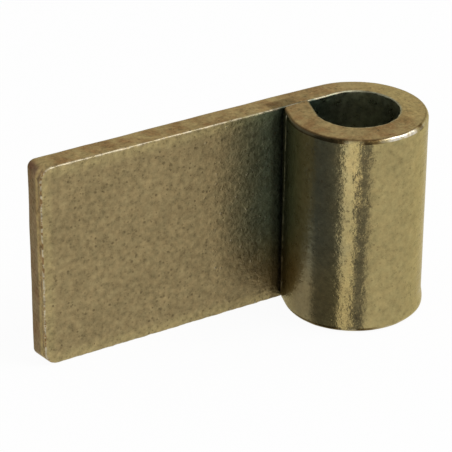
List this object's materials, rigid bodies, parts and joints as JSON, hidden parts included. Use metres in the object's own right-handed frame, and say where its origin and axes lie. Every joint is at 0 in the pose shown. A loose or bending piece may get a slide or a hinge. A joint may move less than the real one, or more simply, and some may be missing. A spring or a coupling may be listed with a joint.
{
  "type": "weld-on barrel hinge leaf",
  "caption": "Short flat steel leaf with an end rolled into a barrel for a hinge pin; its plain back face is welded to a frame or a door.",
  "frame": {"origin": "on the pin bore's axis, at mid height of the barrel", "axes": "+Z along the bore, -X along the flat leaf towards its free end, +Y out of the leaf's back face, which is welded"},
  "size_m": [0.0563, 0.0198, 0.03],
  "materials": {
    "bare_steel": "bare, unpolished, warm grey-brown with fine dark pits"
  },
  "bodies": {
    "root": {"hinge_leaf": "bare_steel"}
  },
  "joints": []
}
